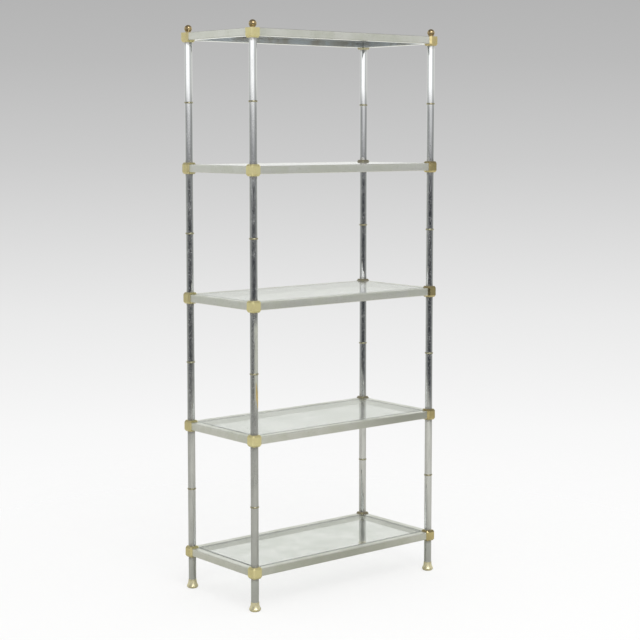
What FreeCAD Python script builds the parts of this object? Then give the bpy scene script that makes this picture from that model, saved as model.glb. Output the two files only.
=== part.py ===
"""Etagere: five glass shelves in mitred tube frames, on four posts of chromed tube.

Every post is a stack. A brass foot, a leg tube, the corner block of the lowest shelf, a bay
tube, the next block and so on, up to a ball finial, are threaded on one tie rod and clamped
by it. Each shelf is a frame of four mitred square tubes whose corners sit in the pockets of
the corner blocks, and a loose glass pane that rests on the ledges inside the frame.

Millimetres. X is the width, the front is -Y and Z is up. The origin is on the floor, in the
middle of the four posts. Shelf 1 is the lowest.
"""

import FreeCAD, Part
import os
import Sketcher
from FreeCAD import Placement, Rotation, Vector

SHELVES = 5
BAYS = SHELVES - 1
FULL_TURN = 360

# (alias, value, what it is)
SIZES = [
    ("post_span_x", 770.0, "left post axis to right post axis"),
    ("post_span_y", 352.0, "front post axis to rear post axis"),
    ("lowest_shelf", 127.0, "floor to the middle of the lowest frame"),
    ("bay_pitch", 434.0, "middle of one frame to the middle of the next"),
    ("tube_dia", 25.4, "post tube, outside"),
    ("tube_wall", 1.5, "post tube, wall"),
    ("rail_size", 25.4, "frame tube, outside, square"),
    ("rail_wall", 1.5, "frame tube, wall"),
    ("rail_corner", 2.4, "frame tube, outer corner radius"),
    ("ledge_reach", 9.0, "how far the glass ledge stands in from the frame tube"),
    ("ledge_thick", 2.0, "glass ledge, thickness"),
    ("glass_thick", 6.0, "pane thickness"),
    ("glass_gap", 1.0, "pane edge to frame tube"),
    ("glass_arris", 0.6, "bevel along the pane's edges"),
    ("corner_gap", 1.5, "clipped pane corner to corner block"),
    ("block_wall", 6.35, "corner block, metal around the frame corner"),
    ("block_chamfer", 6.35, "corner block, chamfer of its outer edges"),
    ("pocket_gap", 0.1, "frame corner to the walls of its pocket"),
    ("spigot_length", 9.0, "spigot that centres a post tube"),
    ("spigot_gap", 0.1, "spigot to the tube's bore"),
    ("rod_dia", 7.9, "tie rod"),
    ("rod_gap", 0.35, "tie rod to the holes it passes"),
    ("rod_bite", 12.0, "tie rod in the finial, above the top frame"),
    ("rod_floor", 10.0, "floor to the tie rod's lower end, inside the foot"),
    ("thread_gap", 0.05, "tie rod to its tapped holes"),
    ("bead_radius", 3.2, "bead ring, radius of its round"),
    ("bead_proud", 1.9, "bead ring, how far it stands out of the tube"),
    ("bead_gap", 0.05, "bead ring to the tube"),
    ("ball_dia", 25.4, "finial ball"),
    ("neck_dia", 17.5, "finial neck"),
    ("foot_height", 30.0, "floor to the foot's shoulder"),
    ("foot_collar", 27.4, "foot, diameter under the shoulder"),
    ("foot_band", 3.0, "foot, straight band under the shoulder"),
    ("foot_lip", 39.0, "foot, largest diameter"),
    ("foot_lip_height", 8.5, "floor to the foot's largest diameter"),
    ("foot_base", 28.0, "foot, flat underside"),
    ("foot_flare_round", 34.0, "foot, radius of the hollow flare"),
    ("foot_lip_round", 9.5, "foot, radius of the rounded lip"),
    ("cut_past", 1.0, "how far a cut runs past the metal that it removes"),
]

# Lengths that follow from the sizes, as expressions for the features below.
RAIL_HALF = "sizes.rail_size / 2"
BLOCK_HALF = "(sizes.rail_size / 2 + sizes.block_wall)"
BLOCK_FLAT = "(%s - sizes.block_chamfer)" % BLOCK_HALF
POCKET_HALF = "(sizes.rail_size / 2 + sizes.pocket_gap)"
TUBE_BORE = "(sizes.tube_dia - 2 * sizes.tube_wall)"
SPIGOT_DIA = "(%s - 2 * sizes.spigot_gap)" % TUBE_BORE
ROD_HOLE = "(sizes.rod_dia + 2 * sizes.rod_gap)"
ROD_THREAD = "(sizes.rod_dia + 2 * sizes.thread_gap)"
TOP_FRAME = "(sizes.lowest_shelf + %d * sizes.bay_pitch)" % BAYS
LEDGE_TOP = "(sizes.rail_size / 2 - sizes.glass_thick)"
LEFT = "-sizes.post_span_x / 2"
RIGHT = "sizes.post_span_x / 2"
FRONT = "-sizes.post_span_y / 2"
REAR = "sizes.post_span_y / 2"

doc = FreeCAD.newDocument("etagere")
sheet = doc.addObject("Spreadsheet::Sheet", "sizes")
for line, (alias, value, note) in enumerate(SIZES, start=1):
    sheet.set("A%d" % line, alias)
    sheet.set("B%d" % line, str(value))
    sheet.setAlias("B%d" % line, alias)
    sheet.set("C%d" % line, note)
doc.recompute()

# Where each post stands. Going round, the pieces of each are turned a quarter turn on from the
# one before, so that the open sides of all blocks point inwards.
POSTS = {
    "front_left": (LEFT, FRONT),
    "front_right": (RIGHT, FRONT),
    "rear_right": (RIGHT, REAR),
    "rear_left": (LEFT, REAR),
}

# Where the middle of each rail is and the span that it bridges, turned in the same way.
RAILS = {
    "front": ("0", FRONT, "sizes.post_span_x"),
    "right": (RIGHT, "0", "sizes.post_span_y"),
    "rear": ("0", REAR, "sizes.post_span_x"),
    "left": (LEFT, "0", "sizes.post_span_y"),
}

nodes = []


def new_body(name):
    """A PartDesign body that becomes a node of its own."""
    body = doc.addObject("PartDesign::Body", name)
    body.Label = name
    nodes.append(body)
    return body


def stand(obj, x, y, height, turn=0):
    """Places an object by expressions, turned about Z."""
    obj.Placement = Placement(Vector(), Rotation(Vector(0, 0, 1), turn))
    obj.setExpression("Placement.Base.x", x)
    obj.setExpression("Placement.Base.y", y)
    obj.setExpression("Placement.Base.z", height)


def turn_of(name, ring):
    """Degrees from the first of a ring of places to the named one."""
    return FULL_TURN * list(ring).index(name) / len(ring)


def frame_height(shelf):
    """Expression for the middle of a shelf's frame."""
    return "sizes.lowest_shelf + %d * sizes.bay_pitch" % (shelf - 1)


def origin_feature(body, role):
    return next(o for o in body.Origin.OriginFeatures if o.Role == role)


def new_sketch(body, name, plane="XY_Plane", offset=None):
    """A sketch on one of the body's own origin planes, raised from it by an expression."""
    sketch = body.newObject("Sketcher::SketchObject", name)
    sketch.AttachmentSupport = [(origin_feature(body, plane), "")]
    sketch.MapMode = "FlatFace"
    if offset:
        sketch.setExpression("AttachmentOffset.Base.z", offset)
    return sketch


def size_of(obj, expression):
    return float(obj.evalExpression(expression))


def dimension(sketch, constraint, expression):
    """Adds a driving dimension and ties it to an expression."""
    index = sketch.addConstraint(constraint)
    sketch.setExpression("Constraints[%d]" % index, expression)


def draw_circle(sketch, diameter, centre_x=None):
    """A circle about the sketch's origin, or about a point on its X axis."""
    x = size_of(sketch, centre_x) if centre_x else 0
    radius = size_of(sketch, diameter) / 2
    circle = sketch.addGeometry(Part.Circle(Vector(x, 0, 0), Vector(0, 0, 1), radius))
    if centre_x:
        sketch.addConstraint(Sketcher.Constraint("PointOnObject", circle, 3, -1))
        dimension(sketch, Sketcher.Constraint("DistanceX", -1, 1, circle, 3, x), centre_x)
    else:
        sketch.addConstraint(Sketcher.Constraint("Coincident", circle, 3, -1, 1))
    dimension(sketch, Sketcher.Constraint("Diameter", circle, 2 * radius), diameter)


def arc_between(start, end, radius):
    """The short arc of a radius. A positive radius bows to the left of the way, a negative
    one to the right."""
    chord = end - start
    middle = (start + end) / 2
    left = Vector(-chord.y, chord.x, 0).normalize()
    rise = abs(radius) - (radius ** 2 - (chord.Length / 2) ** 2) ** 0.5
    return Part.Arc(start, middle + left * (rise if radius > 0 else -rise), end)


def draw_outline(sketch, corners):
    """A closed outline. Each corner is (x, y) as expressions, with the radius of the arc to
    the next corner after them where that side is curved."""
    places = [Vector(size_of(sketch, c[0]), size_of(sketch, c[1]), 0) for c in corners]
    ends = []
    for corner, start, end in zip(corners, places, places[1:] + places[:1]):
        if len(corner) == 2:
            side = sketch.addGeometry(Part.LineSegment(start, end))
            ends.append((side, 1, 2))
            continue
        radius = size_of(sketch, corner[2])
        side = sketch.addGeometry(arc_between(start, end, radius))
        first = 1 if sketch.getPoint(side, 1).distanceToPoint(start) < 1e-6 else 2
        ends.append((side, first, 3 - first))
        dimension(sketch, Sketcher.Constraint("Radius", side, abs(radius)), "abs(%s)" % corner[2])
    for number, (corner, place) in enumerate(zip(corners, places)):
        side, start, _ = ends[number]
        before, _, finish = ends[number - 1]
        sketch.addConstraint(Sketcher.Constraint("Coincident", before, finish, side, start))
        for kind, axis, value, expression in (("DistanceX", -2, place.x, corner[0]),
                                              ("DistanceY", -1, place.y, corner[1])):
            if expression == "0":
                sketch.addConstraint(Sketcher.Constraint("PointOnObject", side, start, axis))
            else:
                dimension(sketch, Sketcher.Constraint(kind, -1, 1, side, start, value), expression)


def draw_rectangle(sketch, low, high):
    """A rectangle from its low corner to its high corner, each (x, y) as expressions."""
    draw_outline(sketch, [low, (high[0], low[1]), high, (low[0], high[1])])


def pad(body, sketch, length, both_ways=False, down=False):
    feature = body.newObject("PartDesign::Pad", sketch.Name + "_pad")
    feature.Profile = sketch
    feature.setExpression("Length", length)
    feature.Midplane = both_ways
    feature.Reversed = down
    sketch.Visibility = False
    return feature


def pocket(body, sketch, length):
    """Cuts a sketch out of the body, half of the length to each side of the sketch."""
    feature = body.newObject("PartDesign::Pocket", sketch.Name + "_cut")
    feature.Profile = sketch
    feature.Midplane = True
    feature.setExpression("Length", length)
    sketch.Visibility = False
    return feature


def revolve(body, sketch):
    feature = body.newObject("PartDesign::Revolution", sketch.Name + "_turned")
    feature.Profile = sketch
    feature.ReferenceAxis = (sketch, ["V_Axis"])
    feature.Angle = FULL_TURN
    sketch.Visibility = False
    return feature


def edges_where(feature, wanted):
    """Names of the edges that a test picks."""
    return ["Edge%d" % n for n, edge in enumerate(feature.Shape.Edges, start=1) if wanted(edge)]


def make_post(corner):
    """The five tubes of one post: the leg under the lowest block, and one tube in each bay."""
    x, y = POSTS[corner]
    body = new_body("post_" + corner)
    stand(body, x, y, "sizes.foot_height")
    leg = new_sketch(body, "leg_section_" + corner)
    draw_circle(leg, "sizes.tube_dia")
    draw_circle(leg, TUBE_BORE)
    pad(body, leg, "sizes.lowest_shelf - %s - sizes.foot_height" % BLOCK_HALF)
    first_bay = "sizes.lowest_shelf + %s - sizes.foot_height" % BLOCK_HALF
    tube = new_sketch(body, "tube_section_" + corner, offset=first_bay)
    draw_circle(tube, "sizes.tube_dia")
    draw_circle(tube, TUBE_BORE)
    first = pad(body, tube, "sizes.bay_pitch - 2 * %s" % BLOCK_HALF)
    stack = body.newObject("PartDesign::LinearPattern", "tube_stack_" + corner)
    stack.Originals = [first]
    stack.Direction = (origin_feature(body, "Z_Axis"), [""])
    stack.Mode = "Extent"
    stack.setExpression("Length", "%d * sizes.bay_pitch" % (BAYS - 1))
    stack.Occurrences = BAYS
    body.Tip = stack


def make_block(shelf, corner):
    """One corner block: a cube with chamfered edges, open towards the middle of the shelf,
    where the frame corner slides in. The top shelf's blocks end flush with the frame."""
    x, y = POSTS[corner]
    tag = "_%d_%s" % (shelf, corner)
    is_top = shelf == SHELVES
    body = new_body("block" + tag)
    stand(body, x, y, frame_height(shelf), turn_of(corner, POSTS))

    square = new_sketch(body, "cube" + tag)
    draw_rectangle(square, ("-" + BLOCK_HALF, "-" + BLOCK_HALF), (BLOCK_HALF, BLOCK_HALF))
    cube = pad(body, square, "2 * " + BLOCK_HALF, both_ways=True)
    doc.recompute()
    chamfer = body.newObject("PartDesign::Chamfer", "chamfer" + tag)
    chamfer.Base = (cube, edges_where(cube, lambda edge: True))
    chamfer.setExpression("Size", "sizes.block_chamfer")

    for side in ("lower",) if is_top else ("lower", "upper"):
        face = "-" + BLOCK_HALF if side == "lower" else BLOCK_HALF
        spigot = new_sketch(body, side + "_spigot" + tag, offset=face)
        draw_circle(spigot, SPIGOT_DIA)
        pad(body, spigot, "sizes.spigot_length", down=side == "lower")

    seat = new_sketch(body, "frame_seat" + tag)
    past_block = "(%s + sizes.cut_past)" % BLOCK_HALF
    draw_rectangle(seat, ("-" + POCKET_HALF, "-" + POCKET_HALF), (past_block, past_block))
    pocket(body, seat, "2 * " + POCKET_HALF)

    if is_top:
        crown = new_sketch(body, "crown" + tag, offset="%s + %s" % (RAIL_HALF, BLOCK_HALF))
        draw_rectangle(crown, ("-" + past_block, "-" + past_block), (past_block, past_block))
        pocket(body, crown, "2 * " + BLOCK_HALF)

    bore = new_sketch(body, "rod_bore" + tag)
    draw_circle(bore, ROD_HOLE)
    pocket(body, bore, "2 * (%s + sizes.spigot_length + sizes.cut_past)" % BLOCK_HALF)


def make_rail(shelf, side):
    """One frame tube with its glass ledge. It is drawn along X with the ledge towards +Y,
    mitred through both post axes, and pierced there for the tie rods."""
    x, y, span = RAILS[side]
    tag = "_%d_%s" % (shelf, side)
    body = new_body("rail" + tag)
    stand(body, x, y, frame_height(shelf), turn_of(side, RAILS))
    half_length = "(%s / 2 + %s)" % (span, RAIL_HALF)

    section = new_sketch(body, "section" + tag, plane="YZ_Plane")
    draw_rectangle(section, ("-" + RAIL_HALF, "-" + RAIL_HALF), (RAIL_HALF, RAIL_HALF))
    bar = pad(body, section, "2 * " + half_length, both_ways=True)
    doc.recompute()
    rounds = body.newObject("PartDesign::Fillet", "rounds" + tag)
    rounds.Base = (bar, edges_where(bar, lambda edge: edge.Length > 2 * size_of(body, "sizes.rail_size")))
    rounds.setExpression("Radius", "sizes.rail_corner")

    ledge = new_sketch(body, "ledge" + tag, plane="YZ_Plane")
    bore = "(%s - sizes.rail_wall)" % RAIL_HALF
    tip = "(%s + sizes.ledge_reach)" % RAIL_HALF
    under = "(%s - sizes.ledge_thick)" % LEDGE_TOP
    draw_rectangle(ledge, (bore, under), (tip, LEDGE_TOP))
    pad(body, ledge, "2 * " + half_length, both_ways=True)

    hollow = new_sketch(body, "hollow" + tag, plane="YZ_Plane")
    draw_rectangle(hollow, ("-" + bore, "-" + bore), (bore, bore))
    pocket(body, hollow, "2 * (%s + sizes.cut_past)" % half_length)

    reach = "(%s + sizes.cut_past)" % tip
    for end, sign in (("start", "-"), ("end", "")):
        mitre = new_sketch(body, "mitre_%s%s" % (end, tag))
        outer = "(%s / 2 + %s)" % (span, reach)
        inner = "(%s / 2 - %s)" % (span, reach)
        draw_outline(mitre, [(sign + outer, "-" + reach), (sign + outer, reach), (sign + inner, reach)])
        pocket(body, mitre, "2 * sizes.rail_size")

    holes = new_sketch(body, "rod_holes" + tag)
    draw_circle(holes, ROD_HOLE, centre_x="-%s / 2" % span)
    draw_circle(holes, ROD_HOLE, centre_x="%s / 2" % span)
    pocket(body, holes, "2 * sizes.rail_size")


def make_glass(shelf):
    """One pane, resting on the ledges. Its corners are clipped to lift past the blocks."""
    body = new_body("glass_%d" % shelf)
    stand(body, "0", "0", "%s + %s" % (frame_height(shelf), LEDGE_TOP))
    half_x = "(sizes.post_span_x / 2 - %s - sizes.glass_gap)" % RAIL_HALF
    half_y = "(sizes.post_span_y / 2 - %s - sizes.glass_gap)" % RAIL_HALF
    block_face = "(%s + %s + sizes.corner_gap * sqrt(2))" % (BLOCK_HALF, BLOCK_FLAT)
    clip = "(%s - 2 * (%s + sizes.glass_gap))" % (block_face, RAIL_HALF)
    outline = new_sketch(body, "pane_%d" % shelf)
    corners = []
    for sign_x, sign_y, along_first in (("-", "-", False), ("", "-", True), ("", "", False), ("-", "", True)):
        along_x = ("%s(%s - %s)" % (sign_x, half_x, clip), sign_y + half_y)
        along_y = (sign_x + half_x, "%s(%s - %s)" % (sign_y, half_y, clip))
        corners += [along_x, along_y] if along_first else [along_y, along_x]
    draw_outline(outline, corners)
    pane = pad(body, outline, "sizes.glass_thick")
    doc.recompute()
    arris = body.newObject("PartDesign::Chamfer", "arris_%d" % shelf)
    arris.Base = (pane, ["Face%d" % n for n, face in enumerate(pane.Shape.Faces, start=1)
                         if abs(face.normalAt(0, 0).z) > 0.5])
    arris.setExpression("Size", "sizes.glass_arris")


def make_finial(corner):
    """A ball on a short neck, which closes the top of a post and takes the tie rod's end."""
    x, y = POSTS[corner]
    body = new_body("finial_" + corner)
    stand(body, x, y, "%s + %s" % (TOP_FRAME, RAIL_HALF))
    outline = new_sketch(body, "finial_outline_" + corner, plane="XZ_Plane")
    ball = "sizes.ball_dia / 2"
    hole = "%s / 2" % ROD_THREAD
    neck_top = "(%s - sqrt(%s * %s - sizes.neck_dia * sizes.neck_dia / 4))" % (ball, ball, ball)
    draw_outline(outline, [
        (hole, "0"),
        ("sizes.neck_dia / 2", "0"),
        ("sizes.neck_dia / 2", neck_top, "-" + ball),
        ("0", "sizes.ball_dia"),
        ("0", "sizes.rod_bite"),
        (hole, "sizes.rod_bite"),
    ])
    revolve(body, outline)


def make_foot(corner):
    """A flared foot: a rounded lip at the floor, a hollow flare, a band and a shoulder that
    carries the leg tube, with a spigot inside it. The tie rod screws into its middle."""
    x, y = POSTS[corner]
    body = new_body("foot_" + corner)
    stand(body, x, y, "0")
    outline = new_sketch(body, "foot_outline_" + corner, plane="XZ_Plane")
    hole = "%s / 2" % ROD_THREAD
    spigot = "%s / 2" % SPIGOT_DIA
    spigot_top = "(sizes.foot_height + sizes.spigot_length)"
    draw_outline(outline, [
        ("0", "0"),
        ("sizes.foot_base / 2", "0", "-sizes.foot_lip_round"),
        ("sizes.foot_lip / 2", "sizes.foot_lip_height", "sizes.foot_flare_round"),
        ("sizes.foot_collar / 2", "sizes.foot_height - sizes.foot_band"),
        ("sizes.foot_collar / 2", "sizes.foot_height"),
        (spigot, "sizes.foot_height"),
        (spigot, spigot_top),
        (hole, spigot_top),
        (hole, "sizes.rod_floor"),
        ("0", "sizes.rod_floor"),
    ])
    revolve(body, outline)


def pattern(body, name, originals, axis, length, count):
    """Repeats features along one of the body's origin axes."""
    feature = body.newObject("PartDesign::LinearPattern", name)
    feature.Originals = originals
    feature.Direction = (origin_feature(body, axis), [""])
    feature.Mode = "Extent"
    feature.setExpression("Length", length)
    feature.Occurrences = count
    return feature


def make_on_every_post(name, draw, rows=1):
    """A piece drawn on the front left post and repeated on the other three."""
    body = new_body(name)
    stand(body, LEFT, FRONT, "0")
    piece = draw(body)
    grid = body.newObject("PartDesign::MultiTransform", name + "_grid")
    grid.Originals = [piece]
    steps = []
    if rows > 1:
        steps.append(pattern(body, name + "_up", [], "Z_Axis", "%d * sizes.bay_pitch" % (rows - 1), rows))
    steps.append(pattern(body, name + "_across", [], "X_Axis", "sizes.post_span_x", 2))
    steps.append(pattern(body, name + "_back", [], "Y_Axis", "sizes.post_span_y", 2))
    grid.Transformations = steps
    body.Tip = grid


def draw_bead(body):
    """A bead ring: a round that bulges out of a short sleeve, halfway up the first bay."""
    outline = new_sketch(body, "bead_outline", plane="XZ_Plane")
    sleeve = "(sizes.tube_dia / 2 + sizes.bead_gap)"
    sunk = "(sizes.bead_radius - sizes.bead_proud + sizes.bead_gap)"
    half_height = "sqrt(sizes.bead_radius * sizes.bead_radius - %s * %s)" % (sunk, sunk)
    middle = "(sizes.lowest_shelf + sizes.bay_pitch / 2)"
    draw_outline(outline, [
        (sleeve, "%s - %s" % (middle, half_height), "-sizes.bead_radius"),
        (sleeve, "%s + %s" % (middle, half_height)),
    ])
    return revolve(body, outline)


def draw_rod(body):
    section = new_sketch(body, "rod_section", offset="sizes.rod_floor")
    draw_circle(section, "sizes.rod_dia")
    length = "%s + %s + sizes.rod_bite - sizes.rod_floor" % (TOP_FRAME, RAIL_HALF)
    return pad(body, section, length)


for corner in POSTS:
    make_foot(corner)
    make_post(corner)
    make_finial(corner)
for shelf in range(1, SHELVES + 1):
    for corner in POSTS:
        make_block(shelf, corner)
    for side in RAILS:
        make_rail(shelf, side)
    make_glass(shelf)
make_on_every_post("bead_rings", draw_bead, rows=BAYS)
make_on_every_post("tie_rods", draw_rod)

doc.recompute()
for obj in doc.Objects:
    if "Invalid" in obj.State or "Error" in obj.State:
        raise RuntimeError("%s did not compute: %s" % (obj.Label, obj.State))
for node in nodes:
    if node.Shape.isNull() or not node.Shape.isValid() or not node.Shape.Solids:
        raise RuntimeError("%s has no valid solid" % node.Label)

os.makedirs("parts", exist_ok=True)
for node in nodes:
    node.Shape.exportStep("parts/%s.step" % node.Label)
print("%d nodes, %d solids" % (len(nodes), sum(len(node.Shape.Solids) for node in nodes)))
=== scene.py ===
"""Etagere finishes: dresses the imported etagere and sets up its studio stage.

The posts, rails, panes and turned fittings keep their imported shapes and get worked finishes.
The corner blocks are modelled here, with broken and polished edges. Metres, Z up, front at -Y.
"""

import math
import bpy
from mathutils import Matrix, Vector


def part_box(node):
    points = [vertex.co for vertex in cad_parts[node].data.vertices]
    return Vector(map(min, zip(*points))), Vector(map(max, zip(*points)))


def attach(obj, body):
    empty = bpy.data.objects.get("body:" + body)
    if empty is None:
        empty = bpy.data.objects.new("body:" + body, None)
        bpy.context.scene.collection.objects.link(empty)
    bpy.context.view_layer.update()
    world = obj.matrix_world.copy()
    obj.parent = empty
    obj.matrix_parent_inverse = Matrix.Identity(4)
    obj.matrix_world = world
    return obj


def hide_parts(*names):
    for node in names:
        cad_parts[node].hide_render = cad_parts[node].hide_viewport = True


bl_info = {
    "name": "Etagere finishes",
    "version": (1, 0, 0),
    "blender": (4, 5, 0),
    "location": "View3D > Sidebar > Etagere",
    "description": "Finishes for a chrome, brass and glass etagere, and a plain studio stage",
    "category": "Object",
}

import bpy
from mathutils import Vector

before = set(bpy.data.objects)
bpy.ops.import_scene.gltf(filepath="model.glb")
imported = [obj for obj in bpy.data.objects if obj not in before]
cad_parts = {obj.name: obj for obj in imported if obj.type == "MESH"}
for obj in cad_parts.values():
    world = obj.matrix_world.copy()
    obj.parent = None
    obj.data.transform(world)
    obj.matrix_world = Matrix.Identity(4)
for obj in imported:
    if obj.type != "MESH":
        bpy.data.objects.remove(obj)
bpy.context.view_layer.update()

SHELVES = (1, 2, 3, 4, 5)
# The quarter turns that bring a block with its pocket towards +X and +Y to each corner.
QUARTER_TURNS = {"front_left": 0, "front_right": 1, "rear_right": 2, "rear_left": 3}
# Each side's run of rails: the long ones lie along X and the short ones along Y.
RAIL_RUNS = {"front": "long", "rear": "long", "left": "short", "right": "short"}


def tone(red, green, blue):
    """A colour read as 0-255 screen values, as the linear values that Blender keeps."""
    parts = [value / 255 for value in (red, green, blue)]
    return tuple(p / 12.92 if p <= 0.04045 else ((p + 0.055) / 1.055) ** 2.4 for p in parts)


def opaque(colour):
    return (*colour, 1.0)


def grey(level):
    return opaque((level, level, level))


# ---------------------------------------------------------------- user settings


def colour_setting(name, description, default):
    return bpy.props.FloatVectorProperty(
        name=name, description=description, default=default, subtype="COLOR", size=3, min=0, max=1)


def length_setting(name, description, default):
    return bpy.props.FloatProperty(
        name=name, description=description, default=default, subtype="DISTANCE", unit="LENGTH",
        min=0, precision=4)


def share_setting(name, description, default):
    return bpy.props.FloatProperty(
        name=name, description=description, default=default, subtype="FACTOR", min=0, max=1)


class EtagereBlocks(bpy.types.PropertyGroup):
    """Sizes of the brass corner blocks."""

    wall: length_setting("Wall", "Metal between the frame corner and the block's outside", 0.00635)
    chamfer: length_setting("Chamfer", "Width of the flat cut off each edge, along the face", 0.00635)
    edge_round: length_setting("Broken edge", "Width of the rounding where two faces meet", 0.0005)
    rail: length_setting("Frame tube", "Side of the square tube that the block holds", 0.0254)
    clearance: length_setting("Clearance", "Gap between the frame corner and its pocket", 0.0001)
    spigot_radius: length_setting("Spigot radius", "Radius of the spigots inside the tubes", 0.0111)
    spigot_length: length_setting("Spigot length", "How far a spigot stands into its tube", 0.009)


class EtagereMetals(bpy.types.PropertyGroup):
    """Colours of the metal finishes."""

    chrome: colour_setting("Chrome", "Clean chrome plate on the posts", (0.74, 0.75, 0.75))
    chrome_worn: colour_setting("Worn chrome", "Dulled and pitted chrome", (0.45, 0.455, 0.44))
    # Painted highlight: a pale, less metallic patch on the side of the front left post that faces the
    # front.
    chrome_painted_highlight: colour_setting(
        "Hazed chrome", "Pale film on the front of the front left post", (0.58, 0.59, 0.51))
    satin: colour_setting("Satin frame", "Brushed plate on the shelf frames", (0.93, 0.93, 0.88))
    satin_aged: colour_setting("Aged satin", "Greenish film on the shelf frames", (0.76, 0.78, 0.67))
    # Painted highlight: a pale line along the frames' edges, where the rounded tube edges would catch
    # the light.
    satin_edge_highlight: colour_setting("Rubbed satin", "Bright edges of the shelf frames", (0.98, 0.98, 0.93))
    # Painted shade: darker patches on the front rails of the two lowest frames.
    satin_low_shade: colour_setting(
        "Grubby satin", "Finger marks on the low shelf frames", (0.50, 0.51, 0.45))
    # Painted shade: the top frame's inner faces, darkened and blued as though shaded under the top
    # pane.
    satin_inner_shade: colour_setting(
        "Darkened satin", "Inner faces of the top shelf frame", (0.74, 0.79, 0.84))
    bare: colour_setting("Bare brass", "Where the plating is rubbed through", (0.80, 0.63, 0.29))
    ring: colour_setting("Ring brass", "Dulled bead rings on the posts", (0.50, 0.48, 0.345))
    ball: colour_setting("Ball brass", "Browned balls on top of the posts", (0.49, 0.375, 0.205))
    brass: colour_setting("Satin brass", "Corner blocks where they are handled", (1.0, 0.915, 0.51))
    brass_browned: colour_setting("Browned brass", "The other corner blocks", (0.79, 0.665, 0.335))
    # Painted shade: the rear right blocks, greyed and darkened as though in shade at the back of the
    # stand.
    brass_rear_shade: colour_setting("Filmed brass", "Rear right corner blocks", (0.66, 0.64, 0.52))
    brass_aged: colour_setting("Tarnished brass", "Blotches and spots on all brass", (0.46, 0.35, 0.17))
    polished: colour_setting("Polished brass", "Feet of the posts", (0.94, 0.875, 0.60))
    steel: colour_setting("Plain steel", "Tie rods inside the posts", (0.42, 0.42, 0.43))


class EtagereGlass(bpy.types.PropertyGroup):
    """Colours and haze of the panes."""

    face: colour_setting("Face", "Tint of a pane's face where it is clean", (0.71, 0.74, 0.68))
    edge: colour_setting("Edge", "Tint seen in the ground edge of a pane", (0.86, 0.95, 0.90))
    clear: share_setting("Clearness", "Share of the light that the pane lets through", 0.93)
    dust: share_setting("Dust", "Fine dust that shows at a flat angle", 0.10)


class EtagereStage(bpy.types.PropertyGroup):
    """The studio stage: floor, light and camera."""

    floor: colour_setting("Floor", "Paint of the studio floor", (0.30, 0.30, 0.297))
    floor_mirrored: colour_setting(
        "Floor in metal", "The floor as polished metal shows it", (0.68, 0.675, 0.62))
    # Painted shadow: the floor by the feet, as metal mirrors it, is darker, standing for the stand's
    # shadow.
    floor_mirrored_shadowed: colour_setting(
        "Near floor in metal", "The floor by the feet as polished metal shows it", (0.54, 0.54, 0.49))
    floor_lift: share_setting("Floor lift", "How far the floor is lifted to white", 0.706)
    soft_light: share_setting("Soft light", "Even light from all round", 0.70)
    key_power: bpy.props.FloatProperty(
        name="Key power", description="Power of the large soft lamp", default=140, subtype="POWER",
        unit="POWER", min=0)
    camera_place: bpy.props.FloatVectorProperty(
        name="Camera place", description="Where the camera stands", subtype="TRANSLATION",
        unit="LENGTH", size=3, default=(-3.4618, -4.2237, 1.5527))
    camera_turn: bpy.props.FloatVectorProperty(
        name="Camera turn", description="The camera's rotation", subtype="EULER", unit="ROTATION",
        size=3, default=(math.radians(84.4), 0, math.radians(-39.723)))
    lens: bpy.props.FloatProperty(
        name="Lens", description="Focal length on a 36 mm sensor", default=90.118, min=1,
        subtype="DISTANCE_CAMERA", unit="CAMERA")


# ---------------------------------------------------------------- shader helpers

# The grid on which a shader's nodes are laid out.
NODE_COLUMNS, NODE_WIDTH, NODE_HEIGHT = 8, 200, 260


def set_socket(tree, socket, value):
    """Links a socket to another one, or sets its value."""
    if isinstance(value, bpy.types.NodeSocket):
        tree.links.new(value, socket)
    else:
        socket.default_value = value


def add_node(tree, kind, inputs=None, **settings):
    """A node with its settings made and its inputs set or linked."""
    node = tree.nodes.new(kind)
    row, column = divmod(len(tree.nodes), NODE_COLUMNS)
    node.location = (NODE_WIDTH * column, -NODE_HEIGHT * row)
    for name, value in settings.items():
        setattr(node, name, value)
    for name, value in (inputs or {}).items():
        set_socket(tree, node.inputs[name], value)
    return node


def feed(tree, node, **values):
    """Sets or links a node's inputs, given with underscores for spaces."""
    for name, value in values.items():
        set_socket(tree, node.inputs[name.replace("_", " ")], value)


def calculate(tree, operation, *values, clamp=False):
    """One step of arithmetic."""
    inputs = dict(enumerate(values))
    return add_node(tree, "ShaderNodeMath", inputs, operation=operation, use_clamp=clamp).outputs[0]


def product(tree, first, *others):
    """All the values multiplied together."""
    for other in others:
        first = calculate(tree, "MULTIPLY", first, other)
    return first


def add_share(tree, base, share, mask, clamp=False):
    """The base with a share of the mask added to it."""
    return calculate(tree, "MULTIPLY_ADD", mask, share, base, clamp=clamp)


def ease(tree, value, start, end, low=0.0, high=1.0):
    """Runs smoothly from low at start to high at end."""
    node = add_node(tree, "ShaderNodeMapRange", {
        "Value": value, "From Min": start, "From Max": end, "To Min": low, "To Max": high,
    }, interpolation_type="SMOOTHSTEP")
    return node.outputs[0]


def between(tree, value, start, full, fade, end):
    """Rises from 0 at start to 1 when full, and falls from 1 where it fades to 0 at its end."""
    return product(tree, ease(tree, value, start, full), ease(tree, value, fade, end, 1.0, 0.0))


def axes(tree, vector):
    """The X, Y and Z of a vector."""
    return add_node(tree, "ShaderNodeSeparateXYZ", {0: vector}).outputs


def compare(tree, operation, first, second):
    """One number from two vectors: their DISTANCE or their DOT_PRODUCT."""
    node = add_node(tree, "ShaderNodeVectorMath", {0: first, 1: second}, operation=operation)
    return node.outputs["Value"]


def surface_direction(tree):
    """The way that the surface faces, without its relief."""
    return add_node(tree, "ShaderNodeNewGeometry").outputs["True Normal"]


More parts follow.
